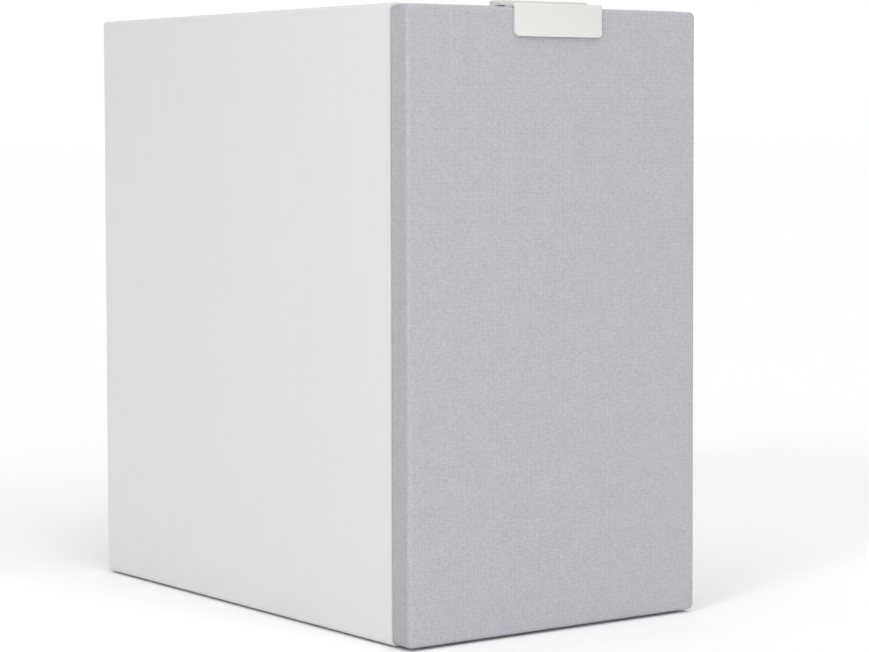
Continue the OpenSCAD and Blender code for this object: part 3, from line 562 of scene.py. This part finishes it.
def wiring():
    """The sleeved wires inside the cabinet, and the bare braided leads to the woofer's cone."""
    sleeve_r, lead_r = 1.1, 0.6
    red, black = (plastic(f"wire_sleeve_{name}", colour, 0.38, grain=0.0008)
                  for name, colour in (("red", (0.42, 0.02, 0.018)), ("black", (0.02, 0.02, 0.021))))
    routes = {
        "woofer_wires": [(0, 56.4, 38, 7), (0, 63, 38, 7), (0, 74, 37, 3), (2, 86, 35, 1.5),
                         (6, 98, 34, 1.5), (10, 108, 34, 1.5), (12, 119, 30, 2), (12, 119, 22.6, 2)],
        "tweeter_wires": [(0, 30.4, 213, 8), (0, 38, 213, 8), (4, 52, 209, 4), (16, 68, 198, 1.5),
                          (28, 80, 182, 1.5), (34, 88, 160, 1.5), (38, 94, 130, 1.5), (40, 102, 95, 1.5),
                          (40, 112, 60, 1.5), (40, 126, 33, 2), (40, 126, 22.6, 2)],
        "input_wires": [(0, 232.5, 85, 19), (0, 227, 85, 19), (0, 219, 77, 15), (0, 212, 60, 8),
                        (0, 206, 44, 3), (0, 202, 31, 2), (0, 202, 22.6, 2)],
    }
    for node, route in routes.items():
        names = (node + "_red", node + "_black")
        for made in wire_pair(route, sleeve_r, names, (red, black), "wire_sleeve", node):
            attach(made, "root")
    braid = mottled("lead_braid", (0.62, 0.34, 0.16), 0.42, ((0.40, 0.20, 0.09), (0.80, 0.50, 0.28)),
                    0.0002, 0.00006, detail=2, span=(0, 1), metallic=0.9)
    route = [(0, 54, 46, 7), (0, 45, 46, 7), (0, 35, 47, 7), (0, 27, 54, 6.5), (0, 21.5, 64, 6),
             (0, 18.8, 69, 6)]
    names = ("woofer_lead_red_side", "woofer_lead_black_side")
    for lead in wire_pair(route, lead_r, names, (braid.material,) * 2, "lead_braid", "woofer_leads", 10):
        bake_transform(lead)


def terminals():
    """The laminate tag boards behind the drivers, with tinned lugs."""
    board = mottled("terminal_board", (0.30, 0.15, 0.06), 0.5, ((0.22, 0.10, 0.04), (0.38, 0.20, 0.09)),
                    0.0006, 0.00003, (14, 1, 1), 3, (0, 1)).material
    tin = metal("lug_tin", (0.66, 0.66, 0.63), 0.32, (1, 1, 8))
    thick, lug_half, lug_thick, lug_height = 1.58, 1.5, 0.8, 12
    # a board's half width, near face, bottom and height, then its lugs' distance aside and their bottom
    boards = {"woofer": (12, 54.02, WOOFER.z / MM - 55, 17, 7, WOOFER.z / MM - 58),
              "tweeter": (13, 28.02, TWEETER.z / MM - 16, 14, 8, TWEETER.z / MM - 15)}
    for driver, (half, near, bottom, height, _, _) in boards.items():
        rounded_block(driver + "_tag_board", (-half, near, bottom), (half, near + thick, bottom + height),
                      0.3, board, stands_for=[driver + "_terminals"], slot="terminal_board")
    for side, mark in ((-1, "left"), (1, "right")):
        for driver, (_, near, _, _, aside, bottom) in boards.items():
            x, y = side * aside, near + thick - 0.02
            rounded_block(f"{driver}_lug_{mark}", (x - lug_half, y, bottom),
                          (x + lug_half, y + lug_thick, bottom + lug_height), 0.18, tin, slot="plated_steel")


# ---------------------------------------------------------------- wadding

def batt(node, thin):
    """A soft sheet of wadding: full in the middle, thin at its edges, a little lumpy, flat on its panel."""
    low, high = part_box(node)
    wide, long = [i for i in range(3) if i != thin]
    centre, half = (low + high) / 2, (high - low) / 2
    wall = 1 if abs(high[thin]) > abs(low[thin]) else -1
    nu, nv = 44, 60
    fit, edge, crown, loft = 0.985, 0.1, 0.88, 0.84  # shares of the box's half size
    points = []
    for face in (1, -1):
        for i in range(nu + 1):
            for j in range(nv + 1):
                u, v = 2 * i / nu - 1, 2 * j / nv - 1
                # the rim draws in between its corners
                du, dv = 0.025 * (1 - v * v) * u ** 5, 0.02 * (1 - u * u) * v ** 5
                swell = max(0.0, (1 - u ** 6) * (1 - v ** 6)) ** 0.4
                p = Vector((0, 0, 0))
                p[wide] = centre[wide] + half[wide] * (u - du) * fit
                p[long] = centre[long] + half[long] * (v - dv) * fit
                lump = noise.fractal(p * 45, 0.9, 2.0, 3) * 0.16
                if face == wall:
                    p[thin] = centre[thin] + wall * half[thin] * (edge + crown * swell)
                else:
                    p[thin] = centre[thin] - wall * half[thin] * (swell * (loft + lump) - edge)
                points.append(p)
    size = (nu + 1) * (nv + 1)
    faces = []
    for i in range(nu):
        for j in range(nv):
            a, b = i * (nv + 1) + j, (i + 1) * (nv + 1) + j
            quad = (a, b, b + 1, a + 1)
            parts = [quad]
            if i in (0, nu - 1) and j in (0, nv - 1):
                # a corner is split from its outermost point, so that the two sheets share no diagonal
                first = 0 if (i == 0) == (j == 0) else 1
                turned = quad[first:] + quad[:first]
                parts = [turned[:3], (turned[0],) + turned[2:]]
            for part in parts:
                faces.append(part)
                faces.append(tuple(size + k for k in reversed(part)))
    return points, faces


def wadding():
    """Three white batts of tangled fibre."""
    look = Look("wadding", (0.86, 0.86, 0.83), 0.95, Sheen_Weight=0.4, Sheen_Roughness=0.6)
    fibres = look.noise(0.0007, (6, 1, 1), 4)
    crossed = look.noise(0.0007, (1, 5, 2), 4)
    tangle = look.maths("MULTIPLY_ADD", fibres, 0.5, look.maths("MULTIPLY", crossed, 0.5))
    look.set(Base_Color=look.mix(look.spread(tangle, 0.35, 0.62), (0.66, 0.66, 0.63), (0.90, 0.90, 0.87)))
    look.bump(tangle, 0.0006)
    for node, thin in (("wadding_left", 0), ("wadding_right", 0), ("wadding_top", 2)):
        points, faces = batt(node, thin)
        made = piece(node + "_batt", points, faces, look.material,
                     stands_for=[node], slot="wadding", sharp=80)


# ---------------------------------------------------------------- rear and crossover

def knob(colour, look):
    """A ribbed terminal nut: sixteen ribs between smooth, rounded ends."""
    node = colour + "_knob"
    low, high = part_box(node)
    centre, length = (low + high) / 2, (high.y - low.y) / MM
    ribs, rib_steps, rib_height = 16, 10, 0.4
    outer, well, bore = 8.1, 4.2, 3.1
    # radius, distance along the post, and 1 where the ribs stand
    profile = [(bore, 0, 0), (outer - 0.4, 0, 0), (outer - 0.15, 0.1, 0), (outer, 0.4, 0), (outer, 1.7, 0),
               (outer, 2.3, 1), (outer, length - 2.3, 1), (outer, length - 1.7, 0), (outer, length - 0.9, 0),
               (outer - 0.15, length - 0.35, 0), (outer - 0.5, length - 0.1, 0), (outer - 0.9, length, 0),
               (well + 0.3, length, 0), (well + 0.1, length - 0.1, 0), (well, length - 0.3, 0),
               (well, length - 2, 0), (bore, length - 2, 0)]
    steps = ribs * rib_steps
    points = []
    for r, y, ribbed in profile:
        for k in range(steps):
            angle = 2 * math.pi * k / steps
            turn = abs((k % rib_steps) - rib_steps / 2) / (rib_steps / 2)
            rib = ribbed * rib_height * max(0.0, 1 - (2.2 * (1 - turn)) ** 2) if turn > 0.5 else 0
            points.append(Vector((centre.x + (r + rib) * MM * math.cos(angle), low.y + y * MM,
                                  centre.z + (r + rib) * MM * math.sin(angle))))
    piece(node + "_moulding", points, band_faces(len(profile), steps, looped=True), look,
          colour + "_plastic", node, [node], sharp=50)


def winding(node, copper, pitch, bore):
    """An air-core coil: the turns of its outer layer and its ends stand proud as fine ridges. Its bore is
    given as a share of its width."""
    low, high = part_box(node)
    centre = (low + high) / 2
    outer, height = (high.x - low.x) / 2 / MM, (high.z - low.z) / MM
    inner = outer * bore
    wire = pitch / 2

    def turns(start, end):
        """A line of half-round turns from start to end, which bulge to its right."""
        start, end = Vector(start), Vector(end)
        count = max(1, round((end - start).length / pitch))
        run, out = (end - start) / count, Vector(((end - start).y, -(end - start).x)).normalized() * wire
        return [start + run * (k + (1 - math.cos(a)) / 2) + out * math.sin(a)
                for k in range(count) for a in (0, math.pi * 0.25, math.pi * 0.5, math.pi * 0.75)]

    outline = turns((outer - wire, wire), (outer - wire, height - wire))
    outline += turns((outer - wire, height - wire), (inner + wire, height - wire))
    outline += [Vector((inner + wire, height - wire)), Vector((inner, height - 2 * wire)),
                Vector((inner, 2 * wire))]
    outline += turns((inner + wire, wire), (outer - wire, wire))
    lathe(node + "_winding", outline, Vector((centre.x, centre.y, low.z)), copper, "Z", 72,
          stands_for=[node], slot="coil_copper", sharp=75)


def capacitor(node, look, slot_name):
    """A wound capacitor: a wrapped body with rounded shoulders and a resin fill at each end."""
    low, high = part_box(node)
    centre = (low + high) / 2
    radius, half = (high.z - low.z) / 2 / MM, (high.x - low.x) / 2 / MM
    # share of the radius, and distance in from the end
    side = [(0, 0.9), (0.80, 0.9), (0.85, 0.75), (0.88, 0.25), (0.91, 0.0),
            (0.955, 0.06), (0.985, 0.35), (1, 0.9), (1, 1.8)]
    side = [(max(radius * share, 0.001), inset) for share, inset in side]
    outline = [(r, inset - half) for r, inset in side] + [(r, half - inset) for r, inset in side[::-1]]
    lathe(node + "_body", outline, centre, look, "X", 72, stands_for=[node], slot=slot_name, sharp=40)


def rear_and_crossover():
    """The binding-post knobs, coils and capacitors. Gives the copper that the voice coils share."""
    for colour, base in (("red", (0.36, 0.008, 0.008)), ("black", (0.018, 0.018, 0.018))):
        knob(colour, plastic(colour + "_plastic", base, 0.22, relief=0.000006))
    copper = metal("coil_copper", (0.66, 0.27, 0.10), 0.3, (10, 10, 1))
    winding("bass_inductor", copper, 1.2, 9 / 22)
    winding("treble_inductor", copper, 0.9, 5 / 14)
    for node, name, dark, pale in (
            ("bass_capacitor", "film_capacitor", (0.04, 0.07, 0.22), (0.06, 0.10, 0.30)),
            ("treble_capacitor", "foil_capacitor", (0.55, 0.44, 0.18), (0.66, 0.55, 0.26))):
        look = Look(name, pale, 0.35, Coat_Weight=0.2)
        wraps = look.noise(0.0012, (9, 1, 1), 2)
        look.set(Base_Color=look.mix(look.spread(wraps, 0.35, 0.65), dark, pale))
        look.set(Roughness=look.spread(wraps, 0.3, 0.7, 0.28, 0.42))
        look.bump(wraps, 0.00002)
        capacitor(node, look.material, name)
    return copper


# ---------------------------------------------------------------- finishes of the CAD pieces

def finishes(silk, copper):
    """Every piece that is shown as it came from CAD gets its own procedural finish."""
    board = mottled("fibreboard", (0.42, 0.29, 0.17), 0.85, ((0.33, 0.22, 0.12), (0.52, 0.38, 0.24)),
                    0.0009, 0.0001, (3, 1, 1))
    ferrite = mottled("ferrite", (0.045, 0.045, 0.048), 0.75, ((0.03, 0.03, 0.033), (0.07, 0.07, 0.073)),
                      0.0008, 0.00012)
    ceramic = mottled("cement", (0.80, 0.79, 0.76), 0.8, ((0.66, 0.65, 0.62), (0.86, 0.85, 0.82)),
                      0.0005, 0.0001, span=(0.35, 0.65))
    pulp = mottled("cone_paper", (0.30, 0.31, 0.33), 0.6, ((0.24, 0.25, 0.27), (0.37, 0.38, 0.40)),
                   0.0016, 0.00012, Sheen_Weight=0.1)
    flecks = pulp.noise(0.0005, detail=1)
    pulp.set(Roughness=pulp.spread(flecks, 0.3, 0.7, 0.5, 0.7))
    mask = Look("circuit_board", (0.02, 0.12, 0.05), 0.35)
    glass = mask.noise(0.0009, (1, 1, 1), 1)
    streaks = mask.noise(0.006, (5, 1, 1), 0)
    mask.set(Base_Color=mask.mix(mask.spread(streaks, 0.48, 0.52), (0.012, 0.085, 0.035), (0.03, 0.16, 0.07)))
    mask.set(Roughness=mask.spread(glass, 0.3, 0.7, 0.25, 0.45))
    mask.bump(glass, 0.00002)
    steel = metal("plated_steel", (0.60, 0.60, 0.57), 0.34)
    gold = metal("gold_plate", (0.80, 0.56, 0.20), 0.22, relief=0.000004)
    nickel = metal("magnet_nickel", (0.68, 0.67, 0.64), 0.22, relief=0.000004)
    looks = {
        lacquer("cabinet_lacquer", (0.71, 0.71, 0.717), 0.45, 0.014): (
            "cabinet_left_panel", "cabinet_right_panel", "cabinet_top_panel", "cabinet_bottom_panel",
            "cabinet_rear_panel"),
        lacquer("baffle_lacquer", (0.65, 0.65, 0.657), 0.6, 0.012): ("front_baffle",),
        board.material: ("cabinet_brace",),
        plastic("foot_rubber", (0.05, 0.05, 0.05), 0.85, relief=0.00005): ("rubber_feet",),
        nickel: ("cabinet_magnets", "grille_magnets"),
        plastic("frame_plastic", (0.16, 0.16, 0.165), 0.55, relief=0.00003): ("grille_frame",),
        plastic("basket_metal", (0.03, 0.03, 0.032), 0.5, grain=0.0006, relief=0.00006): ("woofer_basket",),
        plastic("trim_rubber", (0.02, 0.02, 0.02), 0.7, relief=0.00003): ("woofer_trim_ring",),
        pulp.material: ("woofer_cone",),
        plastic("cap_plastic", (0.022, 0.022, 0.023), 0.35, relief=0.000008): ("woofer_dust_cap",),
        metal("former_aluminium", (0.75, 0.76, 0.77), 0.35, (1, 6, 1)): ("woofer_former",),
        copper: ("woofer_voice_coil", "tweeter_voice_coil"),
        steel: ("woofer_front_plate", "woofer_yoke", "tweeter_front_plate", "tweeter_yoke", "board_fixings"),
        ferrite.material: ("woofer_magnet", "tweeter_magnet"),
        metal("black_steel", (0.035, 0.035, 0.036), 0.45): (
            "woofer_screws", "tweeter_screws", "terminal_screws"),
        plastic("faceplate_plastic", (0.028, 0.028, 0.03), 0.48, relief=0.00003): ("tweeter_faceplate",),
        silk: ("tweeter_dome",),
        plastic("port_plastic", (0.035, 0.035, 0.036), 0.5, relief=0.00003): ("port_tube",),
        plastic("cup_plastic", (0.03, 0.03, 0.031), 0.45, relief=0.00003): ("terminal_cup",),
        gold: ("red_post", "black_post", "red_washer", "black_washer", "post_nuts"),
        mask.material: ("crossover_board",),
        ceramic.material: ("crossover_resistor",),
    }
    for look, nodes in looks.items():
        for node in nodes:
            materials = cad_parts[node].data.materials
            materials.clear()
            materials.append(look)


# ---------------------------------------------------------------- stage, light and camera

def stage():
    """A plain white floor that runs out to the white surround."""
    reach = 30.0
    look = Look("floor", (0.96, 0.96, 0.96), 1.0, Specular_IOR_Level=0.0)
    look.set(Base_Color=look.mix(look.noise(0.5), (0.955, 0.955, 0.955), (0.965, 0.965, 0.965)))
    mesh = bpy.data.meshes.new("floor")
    corners = [(-reach, -reach, 0), (reach, -reach, 0), (reach, reach, 0), (-reach, reach, 0)]
    mesh.from_pydata(corners, [], [(0, 1, 2, 3)])
    mesh.materials.append(look.material)
    linked("floor", mesh)


def softbox(name, place, size, power, target):
    """A rectangular light that faces its target."""
    light = bpy.data.lights.new(name, "AREA")
    light.shape = "RECTANGLE"
    light.size, light.size_y = size
    light.energy = power
    made = linked(name, light)
    made.location = place
    made.rotation_mode = "QUATERNION"
    made.rotation_quaternion = (Vector(place) - Vector(target)).to_track_quat("Z", "Y")


def sun(name, towards, energy, angle):
    """A far light in the direction towards, as wide as angle in degrees."""
    light = bpy.data.lights.new(name, "SUN")
    light.energy, light.angle = energy, math.radians(angle)
    made = linked(name, light)
    made.rotation_mode = "QUATERNION"
    made.rotation_quaternion = Vector(towards).to_track_quat("Z", "Y")


def lights():
    """A white studio: an even surround, a broad light in front, a weaker one at the left and a near fill."""
    scene = bpy.context.scene
    world = bpy.data.worlds.new("studio")
    world.use_nodes = True
    tree = world.node_tree
    background = tree.nodes["Background"]
    background.inputs["Color"].default_value = (1, 1, 1, 1)
    # the backdrop itself is seen pure white, and lights the speaker a little less
    seen = tree.nodes.new("ShaderNodeLightPath")
    strength = tree.nodes.new("ShaderNodeMapRange")
    strength.inputs["To Min"].default_value = 0.30
    strength.inputs["To Max"].default_value = 1.0
    tree.links.new(seen.outputs["Is Camera Ray"], strength.inputs["Value"])
    tree.links.new(strength.outputs["Result"], background.inputs["Strength"])
    scene.world = world
    sun("front_light", (-0.06, -0.95, 0.30), 1.39, 60)
    sun("left_light", (-0.83, -0.34, 0.45), 0.60, 14)
    sun("top_light", (0.0, 0.0, 1.0), 1.60, 90)
    softbox("fill", (-0.42, -0.34, 0.42), (0.25, 0.25), 0.34, (CABINET_LOW.x, RIM_Y, 0.2))
    scene.view_settings.view_transform = "Standard"


def camera():
    """The photograph's viewpoint: from the front left, a little above the middle, looking slightly down."""
    turn, down, roll = (math.radians(a) for a in (-36.16, 2.98, -0.148))
    height = CABINET_HIGH.z - CABINET_LOW.z
    away, aside, raised = 4.3291 * height, -0.1697 * height, 0.5838 * height
    forward = Vector((-math.sin(turn) * math.cos(down), math.cos(turn) * math.cos(down), -math.sin(down)))
    right = Vector((math.cos(turn), math.sin(turn), 0))
    up = right.cross(forward)
    foot = Vector((0, RIM_Y, CABINET_LOW.z))
    data = bpy.data.cameras.new("camera")
    data.sensor_width = 36.0
    data.lens = 110.49
    data.shift_y = -0.069045
    made = linked("camera", data)
    made.location = foot - forward * away + right * aside + up * raised
    turned_right = right * math.cos(roll) + up * math.sin(roll)
    turned_up = up * math.cos(roll) - right * math.sin(roll)
    made.rotation_mode = "QUATERNION"
    made.rotation_quaternion = Matrix((turned_right, turned_up, -forward)).transposed().to_quaternion()
    bpy.context.scene.camera = made


camera()
grille_cloth()
pull_tab()
# thread colour, then the darker colour painted as shade in the hollows between threads
silk = woven("dome_silk", (0.045, 0.045, 0.048), (0.015, 0.015, 0.017), 0.3 * MM, 0.00003, "Object",
             plane="XZ", roughness=0.45)
woofer_suspension()
tweeter_suspension(silk)
wiring()
terminals()
wadding()
finishes(silk, rear_and_crossover())
stage()
lights()
